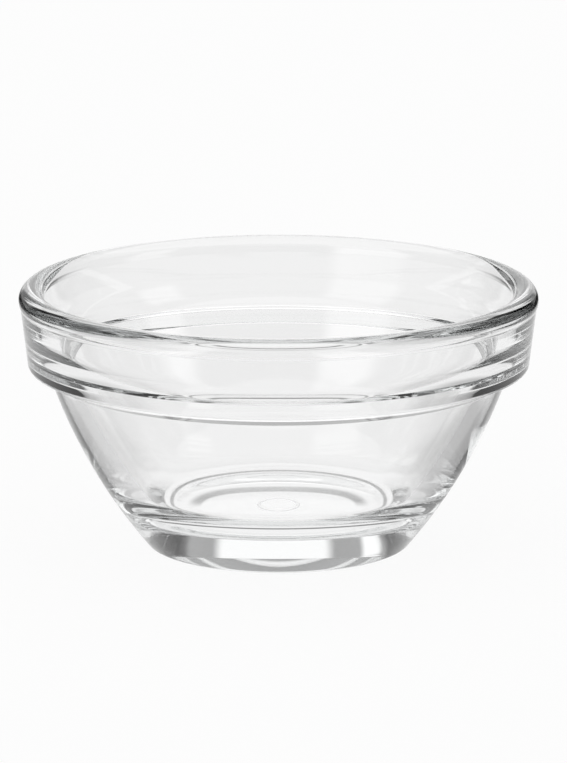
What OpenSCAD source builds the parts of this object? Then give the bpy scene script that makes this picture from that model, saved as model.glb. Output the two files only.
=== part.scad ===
// Small stacking prep bowl pressed in one piece of clear glass.
// A round lip runs into a straight collar. The collar steps in at a sloping shoulder,
// which sits on the lip of the bowl below when bowls are stacked. Under the shoulder
// the wall curves in to a thick base with a shallow hollow underneath.
// The whole bowl is one section turned about Z. It stands on Z = 0. Sizes are in millimetres.

/* [Overall] */
// Diameter over the lip
rim_d = 60; // [56:0.5:66]
// Height from the table to the top of the lip
bowl_h = 30.5; // [29:0.25:34]

/* [Lip] */
// Thickness of the round lip
lip_t = 3.05; // [2.7:0.05:3.4]
// How far the lip stands out past the top of the collar
lip_step = 0.12; // [0.08:0.01:0.3]

/* [Collar and shoulder] */
// Depth of the collar, from the middle of the lip to its foot
collar_h = 7.7; // [6.8:0.1:8.6]
// How much the collar's outside draws in from the lip to its foot
collar_draft = 1.05; // [0.6:0.05:1.4]
// Rounding of the collar's outer bottom corner
foot_round = 0.6; // [0.3:0.05:0.9]
// How far the shoulder's underside drops from the collar's foot to the neck
shoulder_drop = 1.2; // [0.9:0.05:1.6]

/* [Inside of the collar] */
// Lean of the wall under the lip, in degrees from upright
inner_lean = 11.6; // [10:0.2:13]
// Radius of the hollow sweep that carries that wall in to the inner edge
sweep_r = 8.3; // [7.8:0.1:9]
// How far the inner edge lies inside the neck
edge_in = 1.6; // [1.4:0.05:1.9]
// How far the inner edge lies above the neck
edge_up = 2.5; // [2.3:0.05:2.8]
// Rounding over the inner edge
edge_round = 0.3; // [0.2:0.05:0.6]

/* [Neck and wall] */
// Play all round between this neck and the mouth of the bowl that it stacks in
stack_gap = 0.53; // [0.4:0.01:0.8]
// Rounding where the neck runs up into the shoulder
neck_round = 0.25; // [0.15:0.05:0.5]
// Radius of the wall's gentle outward curve, outside
wall_curve = 63; // [50:1:120]
// Radius of the same curve on the inside
inner_curve = 57; // [50:1:80]

/* [Base] */
// Diameter at which the outer wall would meet the table if its heel were sharp
base_d = 30; // [27:0.5:33]
// Rounding of the heel
heel_round = 1.05; // [0.6:0.05:1.6]
// Thickness of the base
base_t = 5.4; // [4.4:0.1:6.4]
// Diameter of the flat floor inside
floor_d = 22.8; // [20:0.2:24]
// Rounding between the inner wall and the floor
floor_round = 7.9; // [6.5:0.1:8.5]
// Diameter of the shallow hollow under the base
hollow_d = 25.8; // [22:0.2:26.4]
// Depth of that hollow
hollow_h = 0.25; // [0.15:0.05:0.5]
// Width of the hollow's sloping edge
hollow_edge = 2.8; // [1.5:0.1:3.2]

/* [Mould mark] */
// Diameter of the plain mould ring in the middle of the hollow, along its crest
mark_d = 4.6; // [3.6:0.2:6]
// Width of the ring
mark_w = 0.5; // [0.3:0.05:0.8]
// How far the ring stands down from the hollow's roof
mark_h = 0.08; // [0.04:0.01:0.12]

/* [Hidden] */

// Number of sides drawn round the bowl, round a large arc of the section and round a small one
turn_sides = 72;
arc_sides = 120;
round_sides = 36;
// Slight overrun, so that cuts pass clear through what they cut
over = 0.5;
glass_colour = [0.88, 0.91, 0.91, 0.45];

// A point of the section is [distance from the axis, height]
rim_r = rim_d / 2;
lip_r = lip_t / 2;
mouth_r = rim_r - lip_t;
lip_mid = [rim_r - lip_r, bowl_h - lip_r];
collar_top = [rim_r - lip_step, lip_mid.y];
foot = [rim_r - collar_draft, lip_mid.y - collar_h];
neck = [mouth_r - stack_gap, foot.y - shoulder_drop];
base_edge = [base_d / 2, 0];
inner_edge = [neck.x - edge_in, neck.y + edge_up];
floor_mid = [floor_d / 2, base_t + floor_round];

// Unit vector from a to b, and the same turned a quarter to its left
function unit(a, b) = (b - a) / norm(b - a);
function left(u) = [-u.y, u.x];
// Centre of the circle of radius r through a and b that lies to the left of a to b
function arc_centre(a, b, r) =
    (a + b) / 2 + left(unit(a, b)) * sqrt(r * r - pow(norm(b - a) / 2, 2));
// Point at distance r from c on the line through p along u, on the side that u points to
function on_line(p, u, c, r) =
    let (along = (c - p) * u, off = norm(c - p - along * u))
    p + u * (along + sqrt(r * r - off * off));
// Centre of a rounding of radius r in the corner a, b, c of two straight lines
function corner_centre(a, b, c, r) =
    let (to_a = unit(b, a), to_c = unit(b, c), middle = unit([0, 0], to_a + to_c))
    b + middle * r / sqrt((1 - to_a * to_c) / 2);
// Point at distance ra from a and rb from b, to the left of a to b
function meet(a, ra, b, rb) =
    let (d = norm(b - a), along = (ra * ra - rb * rb + d * d) / (2 * d))
    a + unit(a, b) * along + left(unit(a, b)) * sqrt(ra * ra - along * along);

wall_mid = arc_centre(base_edge, neck, wall_curve);
inner_mid = meet(floor_mid, inner_curve - floor_round, inner_edge, inner_curve);

module disc(centre, radius, sides) {
    translate(centre) circle(r = radius, $fn = sides);
}

// Corner left between two sides and a round that touches both of them. It is taken off an outer
// corner, or added in an inner one. across_a and across_b point from the round's centre square to
// the sides, and the corner runs slightly past them.
module corner(centre, radius, across_a, across_b) {
    reach = radius + over;
    middle = unit([0, 0], across_a + across_b);
    difference() {
        polygon([centre, centre + across_a * reach,
            centre + middle * reach / (middle * across_a), centre + across_b * reach]);
        disc(centre, radius, round_sides);
    }
}

// Outside of the body under the shoulder, from the table to the neck
module body_outline() {
    heel_mid = on_line([0, heel_round], [1, 0], wall_mid, wall_curve - heel_round);
    difference() {
        intersection() {
            disc(wall_mid, wall_curve, arc_sides);
            square([neck.x, neck.y]);
        }
        corner(heel_mid, heel_round, unit(wall_mid, heel_mid), [0, -1]);
    }
}

// Outside of the collar, from the shoulder up to the middle of the lip
module collar_outline() {
    under = unit(neck, foot);
    foot_mid = corner_centre(neck, foot, collar_top, foot_round);
    neck_mid = on_line(neck - left(under) * neck_round, under, wall_mid, wall_curve + neck_round);
    difference() {
        polygon([[0, neck.y], neck, foot, collar_top, [0, lip_mid.y]]);
        corner(foot_mid, foot_round, -left(under), -left(unit(foot, collar_top)));
    }
    corner(neck_mid, neck_round, left(under), unit(neck_mid, wall_mid));
}

// Hollow inside of the body, from the floor up to the inner edge
module body_inside() {
    difference() {
        intersection() {
            disc(inner_mid, inner_curve, arc_sides);
            translate([0, base_t]) square([rim_r, inner_edge.y + over - base_t]);
        }
        corner(floor_mid, floor_round, unit(inner_mid, floor_mid), [0, -1]);
    }
}

// Hollow inside of the collar, from the inner edge up to where the wall touches the round lip
module collar_inside() {
    up = [sin(inner_lean), cos(inner_lean)];
    lip_touch = lip_mid + left(up) * lip_r;
    sweep_mid = on_line(lip_touch + left(up) * sweep_r, up, inner_edge, sweep_r);
    bottom = inner_edge.y - over;
    slope_foot = lip_touch - up * (lip_touch.y - bottom) / up.y;
    edge_mid = meet(sweep_mid, sweep_r + edge_round, inner_mid, inner_curve + edge_round);
    difference() {
        polygon([[0, bottom], slope_foot, lip_touch,
            [lip_touch.x, bowl_h + over], [0, bowl_h + over]]);
        corner(sweep_mid, sweep_r, [0, -1], -left(up));
    }
    corner(edge_mid, edge_round, unit(edge_mid, sweep_mid), unit(edge_mid, inner_mid));
}

// Shallow hollow under the base, with the plain mould ring left standing in it
module underside() {
    hollow_r = hollow_d / 2;
    mark_r = mark_d / 2;
    difference() {
        polygon([[0, -over], [hollow_r, -over], [hollow_r, 0],
            [hollow_r - hollow_edge, hollow_h], [0, hollow_h]]);
        polygon([[mark_r - mark_w / 2, hollow_h], [mark_r, hollow_h - mark_h],
            [mark_r + mark_w / 2, hollow_h]]);
    }
}

module bowl() {
    color(glass_colour)
        rotate_extrude($fn = turn_sides) {
            difference() {
                union() {
                    body_outline();
                    collar_outline();
                }
                body_inside();
                collar_inside();
                underside();
            }
            disc(lip_mid, lip_r, round_sides);
        }
}

bowl();
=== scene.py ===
"""Small stacking prep bowl, pressed in one piece of clear glass, on a white sheet.

The CAD part gives the frame and the size. This script turns the same section much finer, gives
it glass, and sets up the camera and the studio that the glass bends into view.
Lengths of the bowl are in millimetres and its functions work in the plane (distance from the
axis, height). Everything placed in the scene is in metres.
"""

import bpy
import math
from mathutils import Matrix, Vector


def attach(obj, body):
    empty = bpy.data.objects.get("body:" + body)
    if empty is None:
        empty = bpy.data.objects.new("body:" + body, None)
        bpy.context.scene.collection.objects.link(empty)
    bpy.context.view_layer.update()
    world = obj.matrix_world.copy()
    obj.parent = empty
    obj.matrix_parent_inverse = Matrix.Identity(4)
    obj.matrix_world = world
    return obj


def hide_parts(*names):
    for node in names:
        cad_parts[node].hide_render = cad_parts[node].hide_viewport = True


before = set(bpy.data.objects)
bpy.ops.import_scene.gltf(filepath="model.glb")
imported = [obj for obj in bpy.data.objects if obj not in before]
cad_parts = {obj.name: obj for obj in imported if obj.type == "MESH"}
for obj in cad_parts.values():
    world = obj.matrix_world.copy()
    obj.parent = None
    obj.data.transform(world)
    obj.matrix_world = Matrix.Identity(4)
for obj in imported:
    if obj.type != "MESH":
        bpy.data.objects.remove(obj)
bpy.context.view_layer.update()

scene = bpy.context.scene
scene.view_settings.view_transform = "Standard"
scene.cycles.max_bounces = 32
scene.cycles.glossy_bounces = 24
scene.cycles.transmission_bounces = 24

MM = 0.001

# Sizes of the bowl, in millimetres and degrees
RIM_R = 30.0
BOWL_H = 30.5
LIP_R = 1.525
LIP_STEP = 0.12
COLLAR_H = 7.7
COLLAR_DRAFT = 1.05
CREASE_ROUND = 0.25
FOOT_ROUND = 0.6
SHOULDER_DROP = 1.2
STACK_GAP = 0.53
NECK_ROUND = 0.25
WALL_CURVE = 63.0
BASE_R = 15.0
HEEL_ROUND = 1.05
INNER_LEAN = 11.6
SWEEP_R = 8.3
EDGE_IN = 1.6
EDGE_UP = 2.5
EDGE_ROUND = 0.3
INNER_CURVE = 57.0
FLOOR_R = 11.4
FLOOR_ROUND = 7.9
BASE_T = 5.4
HOLLOW_R = 12.9
HOLLOW_DOME = 224.0
HOLLOW_ROUND = 1.0
MARK_R = 2.3
MARK_W = 0.5
MARK_H = 0.08

# Steps round the bowl, points across the mould ring and over the hollow, and how far from the
# ends of a straight run its first and last inner points lie
TURNS = 288
MARK_POINTS = 8
DOME_POINTS = 12
RUN_END = 0.04
# Spacing of the points along an arc: a crisp edge, a small round, the sweep, a wide round and a long
# curve. An arc has at least ARC_STEPS steps, none of which turns by more than ARC_TURN degrees.
CRISP = 0.06
SMALL = 0.1
MIDDLE = 0.2
WIDE = 0.25
LONG = 0.35
ARC_STEPS = 4
ARC_TURN = 5
# Points closer than this, in millimetres, are one point
SAME = 1e-4


def flat(x, y):
    """A point or a way in the section's plane."""
    return Vector((x, y))


def unit(a, b):
    """Unit vector from a to b."""
    return (b - a).normalized()


def left(u):
    """The same vector, turned a quarter to its left."""
    return flat(-u.y, u.x)


def bearing(v):
    """Angle of a flat vector, in degrees."""
    return math.degrees(math.atan2(v.y, v.x))


def arc_centre(a, b, radius):
    """Centre of the circle through a and b that lies to the left of a to b."""
    half = (b - a).length / 2
    return (a + b) / 2 + left(unit(a, b)) * math.sqrt(radius * radius - half * half)


def on_line(p, u, c, distance):
    """Point at that distance from c on the line through p along u, on the side u points to."""
    along = (c - p).dot(u)
    off = (c - p - along * u).length
    return p + u * (along + math.sqrt(distance * distance - off * off))


def meet(a, from_a, b, from_b):
    """Point at those distances from a and from b, to the left of a to b."""
    gap = (b - a).length
    along = (from_a * from_a - from_b * from_b + gap * gap) / (2 * gap)
    return a + unit(a, b) * along + left(unit(a, b)) * math.sqrt(from_a * from_a - along * along)


def arc(centre, radius, start, end, step=WIDE):
    """Points round an arc between two bearings, closer together on a small radius."""
    span = math.radians(abs(end - start))
    count = max(ARC_STEPS, math.ceil(span / math.radians(ARC_TURN)), math.ceil(span * radius / step))
    turn = [math.radians(start + (end - start) * i / count) for i in range(count + 1)]
    return [centre + radius * flat(math.cos(t), math.sin(t)) for t in turn]


def round_corner(a, corner, b, radius):
    """Arc that rounds the corner between two straight lines."""
    to_a, to_b = unit(corner, a), unit(corner, b)
    half = math.acos(max(-1, min(1, to_a.dot(to_b)))) / 2
    reach = radius / math.tan(half)
    centre = corner + (to_a + to_b).normalized() * radius / math.sin(half)
    start = bearing(corner + to_a * reach - centre)
    end = bearing(corner + to_b * reach - centre)
    if end - start > 180:
        end -= 360
    if start - end > 180:
        end += 360
    return arc(centre, radius, start, end)


def run(a, b, longest=0.6):
    """Points between a and b, without them, close to each end so that shading stays true there."""
    length = (b - a).length
    if length < 3 * RUN_END:
        return []
    middle = length - 2 * RUN_END
    count = max(1, math.ceil(middle / longest))
    steps = [RUN_END + middle * i / count for i in range(count + 1)]
    return [a + unit(a, b) * s for s in steps]


def join(*parts):
    """One chain of points out of several, with straight runs filled in between them."""
    chain = list(parts[0])
    for part in parts[1:]:
        chain += run(chain[-1], part[0])
        chain += part if (chain[-1] - part[0]).length > SAME else part[1:]
    return chain


def on_crease(foot, up_collar, lip_mid):
    """Centre of the small round between the collar's outside and the lip above it."""
    start = foot - left(up_collar) * CREASE_ROUND
    reach = LIP_R + CREASE_ROUND
    along = (lip_mid - start).dot(up_collar)
    off = (lip_mid - start - along * up_collar).length
    return start + up_collar * (along - math.sqrt(max(reach * reach - off * off, 0)))


def bowl_section():
    """The bowl's section from the middle of its underside out, up, over the lip and back down
    to the middle of the floor."""
    mouth_r = RIM_R - 2 * LIP_R
    lip_mid = flat(RIM_R - LIP_R, BOWL_H - LIP_R)
    collar_top = flat(RIM_R - LIP_STEP, lip_mid.y)
    foot = flat(RIM_R - COLLAR_DRAFT, lip_mid.y - COLLAR_H)
    neck = flat(mouth_r - STACK_GAP, foot.y - SHOULDER_DROP)
    edge = flat(neck.x - EDGE_IN, neck.y + EDGE_UP)
    wall_mid = arc_centre(flat(BASE_R, 0), neck, WALL_CURVE)
    floor_mid = flat(FLOOR_R, BASE_T + FLOOR_ROUND)
    inner_mid = meet(floor_mid, INNER_CURVE - FLOOR_ROUND, edge, INNER_CURVE)

    # Underside: mould ring, hollow, the ring it stands on, and the heel
    roof = HOLLOW_R ** 2 / (2 * HOLLOW_DOME)

    def hollow(r, drop=0.0):
        return flat(r, roof - r * r / (2 * HOLLOW_DOME) - drop)

    across = [i / MARK_POINTS for i in range(MARK_POINTS + 1)]
    mark = [hollow(MARK_R + MARK_W * (t - 0.5), MARK_H * math.sin(math.pi * t) ** 2) for t in across]
    dome_start = MARK_R + MARK_W / 2
    dome_width = HOLLOW_R - HOLLOW_ROUND - dome_start
    dome = [hollow(dome_start + dome_width * i / DOME_POINTS) for i in range(1, DOME_POINTS + 1)]
    heel_mid = on_line(flat(0, HEEL_ROUND), flat(1, 0), wall_mid, WALL_CURVE - HEEL_ROUND)
    heel_end = bearing(heel_mid - wall_mid)
    underside = join(
        [hollow(0)], mark, dome,
        round_corner(dome[-1], flat(HOLLOW_R, 0), flat(BASE_R, 0), HOLLOW_ROUND),
        arc(heel_mid, HEEL_ROUND, -90, heel_end, SMALL))

    # Outside: wall, neck, shoulder and collar
    under = unit(neck, foot)
    neck_mid = on_line(neck - left(under) * NECK_ROUND, under, wall_mid, WALL_CURVE + NECK_ROUND)
    up_collar = unit(foot, collar_top)
    crease_mid = on_crease(foot, up_collar, lip_mid)
    outside = join(
        arc(wall_mid, WALL_CURVE, heel_end, bearing(neck_mid - wall_mid), LONG),
        arc(neck_mid, NECK_ROUND, bearing(wall_mid - neck_mid), bearing(left(under)), SMALL),
        round_corner(neck, foot, collar_top, FOOT_ROUND),
        arc(crease_mid, CREASE_ROUND, bearing(left(up_collar)), bearing(lip_mid - crease_mid), CRISP))

    # Lip and inside
    up = flat(math.sin(math.radians(INNER_LEAN)), math.cos(math.radians(INNER_LEAN)))
    lip_touch = lip_mid + left(up) * LIP_R
    sweep_mid = on_line(lip_touch + left(up) * SWEEP_R, up, edge, SWEEP_R)
    edge_mid = meet(sweep_mid, SWEEP_R + EDGE_ROUND, inner_mid, INNER_CURVE + EDGE_ROUND)
    lip = arc(lip_mid, LIP_R, bearing(crease_mid - lip_mid), bearing(lip_touch - lip_mid), SMALL)
    inside = join(
        arc(sweep_mid, SWEEP_R, bearing(-left(up)), bearing(edge_mid - sweep_mid), MIDDLE),
        arc(edge_mid, EDGE_ROUND, bearing(sweep_mid - edge_mid), bearing(inner_mid - edge_mid), CRISP),
        arc(inner_mid, INNER_CURVE, bearing(edge_mid - inner_mid), bearing(floor_mid - inner_mid), LONG),
        arc(floor_mid, FLOOR_ROUND, bearing(floor_mid - inner_mid), -90, WIDE),
        [flat(0, BASE_T)])
    return join(underside, outside, lip, inside)


def linear(code):
    """A colour written as #RRGGBB, as the linear values that a shader takes."""
    parts = [int(code[i:i + 2], 16) / 255 for i in (1, 3, 5)]
    return [p / 12.92 if p <= 0.04045 else ((p + 0.055) / 1.055) ** 2.4 for p in parts] + [1.0]


def add(tree, kind, inputs=(), **settings):
    """Adds a node, sets it up and fills its inputs with values or links."""
    node = tree.nodes.new(kind)
    for name, value in settings.items():
        setattr(node, name, value)
    for name, value in dict(inputs).items():
        if isinstance(value, bpy.types.NodeSocket):
            tree.links.new(value, node.inputs[name])
        else:
            node.inputs[name].default_value = value
    return node


def math_node(tree, operation, a, b=0.0):
    """The outcome of one sum on two values."""
    return add(tree, "ShaderNodeMath", {0: a, 1: b}, operation=operation).outputs[0]


def soft_step(tree, value, start, end):
    """0 on the side of start and 1 on the side of end, with an eased rise between them."""
    return add(tree, "ShaderNodeMapRange", {
        "Value": value, "From Min": start, "From Max": end, "To Min": 0.0, "To Max": 1.0},
        interpolation_type="SMOOTHSTEP").outputs[0]


def clear_glass():
    """Soda-lime glass, pressed hot in a polished mould: colourless but for a faint grey over a long
    path, with a fire-polished skin."""
    made = bpy.data.materials.new("clear pressed glass")
    made.use_nodes = True
    tree = made.node_tree
    tree.nodes.clear()
    skin = add(tree, "ShaderNodeBsdfPrincipled", {
        "Base Color": linear("#FFFFFF"), "Roughness": 0.0, "IOR": 1.52,
        "Transmission Weight": 1.0})
    depth = add(tree, "ShaderNodeVolumeAbsorption", {
        "Color": linear("#DADCDC"), "Density": 14.0})
    add(tree, "ShaderNodeOutputMaterial", {
        "Surface": skin.outputs["BSDF"], "Volume": depth.outputs["Volume"]})
    return made


def turning_tree():
    """Geometry nodes that turn a section round the Z axis."""
    tree = bpy.data.node_groups.new("turn a section", "GeometryNodeTree")
    face = tree.interface
    face.new_socket("Section", in_out="INPUT", socket_type="NodeSocketGeometry")
    face.new_socket("Points", in_out="INPUT", socket_type="NodeSocketInt")
    face.new_socket("Turns", in_out="INPUT", socket_type="NodeSocketInt")
    face.new_socket("Glass", in_out="INPUT", socket_type="NodeSocketMaterial")
    face.new_socket("Solid", in_out="OUTPUT", socket_type="NodeSocketGeometry")
    given = add(tree, "NodeGroupInput").outputs
    around = math_node(tree, "ADD", given["Turns"], 1.0)
    sheet = add(tree, "GeometryNodeMeshGrid", {
        "Vertices X": given["Points"], "Vertices Y": around})
    index = add(tree, "GeometryNodeInputIndex").outputs[0]
    nudged = math_node(tree, "ADD", index, 0.5)
    row = math_node(tree, "FLOOR", math_node(tree, "DIVIDE", nudged, around))
    column = math_node(tree, "SUBTRACT", index, math_node(tree, "MULTIPLY", row, around))
    share = math_node(tree, "DIVIDE", column, given["Turns"])
    angle = math_node(tree, "MULTIPLY", share, -2 * math.pi)
    place = add(tree, "GeometryNodeInputPosition").outputs[0]
    point = add(tree, "GeometryNodeSampleIndex", {
        "Geometry": given["Section"], "Value": place, "Index": row}, data_type="FLOAT_VECTOR")
    apart = add(tree, "ShaderNodeSeparateXYZ", {0: point.outputs[0]}).outputs
    spot = add(tree, "ShaderNodeCombineXYZ", {
        0: math_node(tree, "MULTIPLY", apart[0], math_node(tree, "COSINE", angle)),
        1: math_node(tree, "MULTIPLY", apart[0], math_node(tree, "SINE", angle)),
        2: apart[2]}).outputs[0]
    turned = add(tree, "GeometryNodeSetPosition", {
        "Geometry": sheet.outputs["Mesh"], "Position": spot}).outputs[0]
    closed = add(tree, "GeometryNodeMergeByDistance", {
        "Geometry": turned, "Distance": 1e-6}).outputs[0]
    smooth = add(tree, "GeometryNodeSetShadeSmooth", {
        "Geometry": closed, "Shade Smooth": True}).outputs[0]
    real = add(tree, "GeometryNodeRealizeInstances", {"Geometry": smooth}).outputs[0]
    glazed = add(tree, "GeometryNodeSetMaterial", {
        "Geometry": real, "Material": given["Glass"]}).outputs[0]
    add(tree, "NodeGroupOutput", {"Solid": glazed})
    return tree


def set_inputs(modifier, **values):
    """Gives a geometry nodes modifier its inputs by their names."""
    for item in modifier.node_group.interface.items_tree:
        if item.item_type == "SOCKET" and item.in_out == "INPUT" and item.name in values:
            modifier[item.identifier] = values[item.name]


def press_bowl():
    """The bowl as one solid of glass."""
    section = bowl_section()
    mesh = bpy.data.meshes.new("bowl section")
    mesh.from_pydata([(p.x * MM, 0, p.y * MM) for p in section],
                     [(i, i + 1) for i in range(len(section) - 1)], [])
    bowl = bpy.data.objects.new("glass_bowl", mesh)
    scene.collection.objects.link(bowl)
    glass = clear_glass()
    turn = bowl.modifiers.new("turn", "NODES")
    turn.node_group = turning_tree()
    set_inputs(turn, Points=len(section), Turns=TURNS, Glass=glass)
    turned = bowl.evaluated_get(bpy.context.evaluated_depsgraph_get())
    made = bpy.data.meshes.new_from_object(turned)
    bowl.modifiers.clear()
    bowl.data = made
    made.name = "glass bowl"
    return bowl


# The dark room, and the panels in it, each painted over the ones before: left and right edge by
# bearing (0 is away from the camera, right is positive), lower and upper edge by height, softness,
# all in degrees, and tone
ROOM_LEVEL = 0.015
PANELS = [
    # The light tent above
    (-200, 200, 44, 100, 1.5, 0.96),
    (-40, 40, 44, 54, 1.5, 1.25),
    # Grey to the left, with a strip of light in it
    (-112, -70, -20, 30, 6, 0.15),
    (-72, -65, -10, 12, 1.5, 1.0),
    # Softboxes to the left and right of the camera
    (-152, -114, 8, 42, 5, 1.5),
    (102, 124, 12, 34, 4, 1.5),
    # Behind the bowl: grey wall, a slit of light and the bright panel
    (-58, 58, 26, 44, 3, 0.36),
    (-36, 28, -5, 24, 2, 0.36),
    (-33, -25, 9, 24, 1.5, 1.2),
    (-14, 17, -5, 24, 2, 1.15),
]


def white_studio():
    """The light round the bowl: a tent above, softboxes beside the camera and a lit panel behind, in
    a dark room. The camera itself sees plain white behind the bowl."""
    world = bpy.data.worlds.new("white studio")
    scene.world = world
    world.use_nodes = True
    tree = world.node_tree
    tree.nodes.clear()
    way = add(tree, "ShaderNodeTexCoord").outputs["Generated"]
    x, y, z = add(tree, "ShaderNodeSeparateXYZ", {0: way}).outputs[:3]
    bearing_out = math_node(tree, "DEGREES", math_node(tree, "ARCTAN2", x, y))
    height = math_node(tree, "DEGREES", math_node(tree, "ARCSINE", z))

    def window(value, low, high, soft):
        return math_node(tree, "MULTIPLY", soft_step(tree, value, low - soft, low + soft),
                         soft_step(tree, value, high + soft, high - soft))

    lit = ROOM_LEVEL
    for west, east, low, high, soft, tone in PANELS:
        here = math_node(tree, "MULTIPLY", window(bearing_out, west, east, soft),
                         window(height, low, high, soft))
        lit = add(tree, "ShaderNodeMix", {0: here, 2: lit, 3: tone}).outputs[0]
    shade = add(tree, "ShaderNodeCombineColor", {0: lit, 1: lit, 2: lit}).outputs[0]
    path = add(tree, "ShaderNodeLightPath").outputs
    mixed = add(tree, "ShaderNodeMix", {
        0: path["Is Camera Ray"], 6: shade, 7: linear("#FDFDFD")}, data_type="RGBA").outputs[2]
    back = add(tree, "ShaderNodeBackground", {"Color": mixed, "Strength": 1.0})
    add(tree, "ShaderNodeOutputWorld", {"Surface": back.outputs[0]})


# The table. SHADOW_SHARE is how much of the bowl's true shadow the camera sees on the white sheet.
# The other values are the table as the glass sees it, with painted shade on it: tones, and lengths in
# millimetres from the axis. Its far corners are painted shade that grows dark with how far they lie off
# the two main directions (SLANT, half at the diagonals) and how far out they lie.
SHADOW_SHARE = 0.08
TABLE_TONE = 0.93
CORNER_TONE = 0.03
CORNER_SLANT = (0.2, 0.34)
CORNER_AWAY = (130.0, 200.0)
# Soft shades left and right of the bowl: tones, half width, half depth, softness, and where they lie
LEFT_SHADE = 0.72
RIGHT_SHADE = 0.55
SHADE_OVAL = (17.0, 20.0, 0.4)
SHADE_EAST = 36.0
SHADE_NORTH = 8.0
# Crescent of painted shade under the hollow, where the bowl's cast light is weaker: the outer oval less
# the inner one, from the middle of the bowl backward
CRESCENT_TONE = 0.12
CRESCENT_OUTER = (10.6, 8.8, 0.06)
CRESCENT_INNER = (9.3, 6.5, 0.03)
CRESCENT_BACK = (-1.0, 2.0)
# Ring of painted contact shadow under the foot: where it rises to its tone and where it is gone again
SEAT_IN = (13.3, 13.6)
SEAT_OUT = (14.3, 14.0)
SEAT_TONE = 0.2


def lit_table(tree):
    """The table as the glass sees it: white, with painted shade in its far corners, the bowl's soft
    shade beside it, a darker crescent of its cast light under the hollow, and a ring of painted contact
    shadow under the foot where little light gets in."""
    metres = add(tree, "ShaderNodeTexCoord").outputs["Object"]
    place = add(tree, "ShaderNodeVectorMath", {
        0: metres, 1: (1 / MM, 1 / MM, 1 / MM)}, operation="MULTIPLY").outputs[0]
    x, y, _ = add(tree, "ShaderNodeSeparateXYZ", {0: place}).outputs[:3]
    away = add(tree, "ShaderNodeVectorMath", {0: place}, operation="LENGTH").outputs["Value"]

    def within(half_width, half_depth, soft, east=0.0, north=0.0):
        """1 inside an oval and 0 outside it."""
        moved = add(tree, "ShaderNodeVectorMath", {
            0: place, 1: (east, north, 0.0)}, operation="SUBTRACT").outputs[0]
        squeezed = add(tree, "ShaderNodeVectorMath", {
            0: moved, 1: (1 / half_width, 1 / half_depth, 0.0)}, operation="MULTIPLY").outputs[0]
        out = add(tree, "ShaderNodeVectorMath", {0: squeezed}, operation="LENGTH").outputs["Value"]
        return soft_step(tree, out, 1.0 + soft, 1.0 - soft)

    def both(a, b):
        return math_node(tree, "MULTIPLY", a, b)

    def paint(under, part, tone):
        return add(tree, "ShaderNodeMix", {0: part, 2: under, 3: tone}).outputs[0]

    # Painted shade: the table's far corners darken off the two main directions and far out
    slant = math_node(tree, "ABSOLUTE", math_node(tree, "DIVIDE", both(x, y), both(away, away)))
    corner = both(soft_step(tree, slant, *CORNER_SLANT), soft_step(tree, away, *CORNER_AWAY))
    tone = paint(TABLE_TONE, corner, CORNER_TONE)
    tone = paint(tone, within(*SHADE_OVAL, -SHADE_EAST, SHADE_NORTH), LEFT_SHADE)
    tone = paint(tone, within(*SHADE_OVAL, SHADE_EAST, SHADE_NORTH), RIGHT_SHADE)
    # Painted shade: a darker crescent of the bowl's cast light under the hollow
    outside_inner = math_node(tree, "SUBTRACT", 1.0, within(*CRESCENT_INNER))
    crescent = both(within(*CRESCENT_OUTER), outside_inner)
    tone = paint(tone, both(crescent, soft_step(tree, y, *CRESCENT_BACK)), CRESCENT_TONE)
    # Painted contact shadow: a dark ring under the foot
    ring = both(soft_step(tree, away, *SEAT_IN), soft_step(tree, away, *SEAT_OUT))
    tone = paint(tone, ring, SEAT_TONE)
    return add(tree, "ShaderNodeCombineColor", {0: tone, 1: tone, 2: tone}).outputs[0]


def white_table():
    """The white sheet that the bowl stands on, a hair under it. The camera sees a glowing white with
    a little of the bowl's shadow, and the glass sees the table that lit_table paints."""
    made = bpy.data.materials.new("white sheet")
    made.use_nodes = True
    tree = made.node_tree
    tree.nodes.clear()
    path = add(tree, "ShaderNodeLightPath").outputs
    glass_sees = math_node(tree, "MAXIMUM", path["Is Glossy Ray"], path["Is Transmission Ray"])
    paper = add(tree, "ShaderNodeBsdfDiffuse", {"Color": linear("#F4F4F4")})
    glow = add(tree, "ShaderNodeEmission", {"Color": linear("#FDFDFD"), "Strength": 1.03})
    part = math_node(tree, "MULTIPLY", path["Is Camera Ray"], 1.0 - SHADOW_SHARE)
    shown = add(tree, "ShaderNodeMixShader", {0: part, 1: paper.outputs[0], 2: glow.outputs[0]})
    seen = add(tree, "ShaderNodeEmission", {"Color": lit_table(tree), "Strength": 1.0})
    mixed = add(tree, "ShaderNodeMixShader", {0: glass_sees, 1: shown.outputs[0], 2: seen.outputs[0]})
    add(tree, "ShaderNodeOutputMaterial", {"Surface": mixed.outputs[0]})
    half = 2.0
    under = -0.02 * MM
    mesh = bpy.data.meshes.new("white sheet")
    mesh.from_pydata([(-half, -half, under), (half, -half, under), (half, half, under),
                      (-half, half, under)], [], [(0, 1, 2, 3)])
    mesh.materials.append(made)
    sheet = bpy.data.objects.new("white sheet", mesh)
    scene.collection.objects.link(sheet)


# The camera's place in metres, its tilt up from straight down in degrees, and its lens in
# millimetres
CAMERA_PLACE = (0.00057, -0.7892, 0.2010)
CAMERA_TILT = 77.02
CAMERA_LENS = 330.3


def set_camera():
    """A long lens a little above the bowl, looking thirteen degrees down."""
    lens = bpy.data.cameras.new("camera")
    lens.sensor_width = 36
    lens.lens = CAMERA_LENS
    lens.clip_start = 0.01
    camera = bpy.data.objects.new("camera", lens)
    camera.location = CAMERA_PLACE
    camera.rotation_euler = (math.radians(CAMERA_TILT), 0, 0)
    scene.collection.objects.link(camera)
    scene.camera = camera


bowl = press_bowl()
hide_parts("bowl")
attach(bowl, "root")
white_table()
white_studio()
set_camera()
